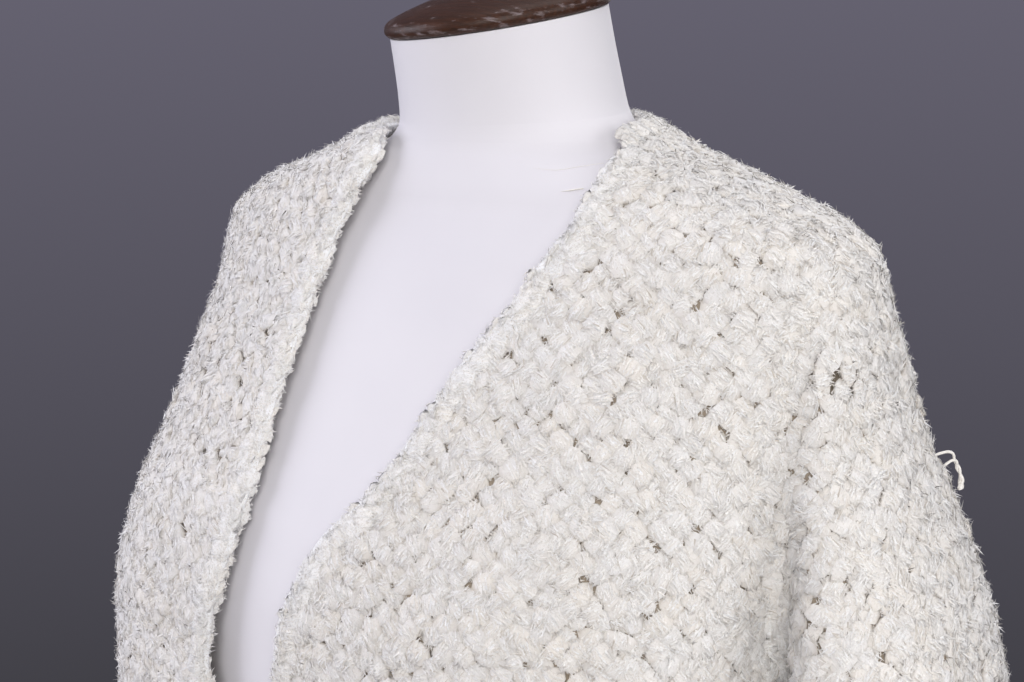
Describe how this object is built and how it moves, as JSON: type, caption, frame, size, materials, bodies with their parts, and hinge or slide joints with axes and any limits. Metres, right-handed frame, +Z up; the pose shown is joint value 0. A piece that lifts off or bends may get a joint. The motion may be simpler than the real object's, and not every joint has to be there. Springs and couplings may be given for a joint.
{
  "type": "open-front cardigan on a dress form",
  "caption": "Open-front hand-knit cardigan of thick cream chenille with plain edges, hanging on a limbless dress form with a wooden neck cap, pole and round base.",
  "frame": {"origin": "middle of the underside of the stand's base", "axes": "+Z up, the cardigan's front towards -Y, the wearer's left towards +X"},
  "size_m": [0.5594, 0.33, 1.0249],
  "materials": {
    "chenille_knit": "matte, fuzzy chenille knit",
    "form_cover": "matte, smooth fine jersey",
    "varnished_wood": "dark, worn varnish"
  },
  "bodies": {
    "root": {"front_left": "chenille_knit", "front_right": "chenille_knit", "back": "chenille_knit", "sleeve_left": "chenille_knit", "sleeve_right": "chenille_knit", "edging": "chenille_knit", "dress_form": "form_cover", "neck_cap": "varnished_wood", "stand_pole": "varnished_wood", "stand_base": "varnished_wood"}
  },
  "joints": []
}
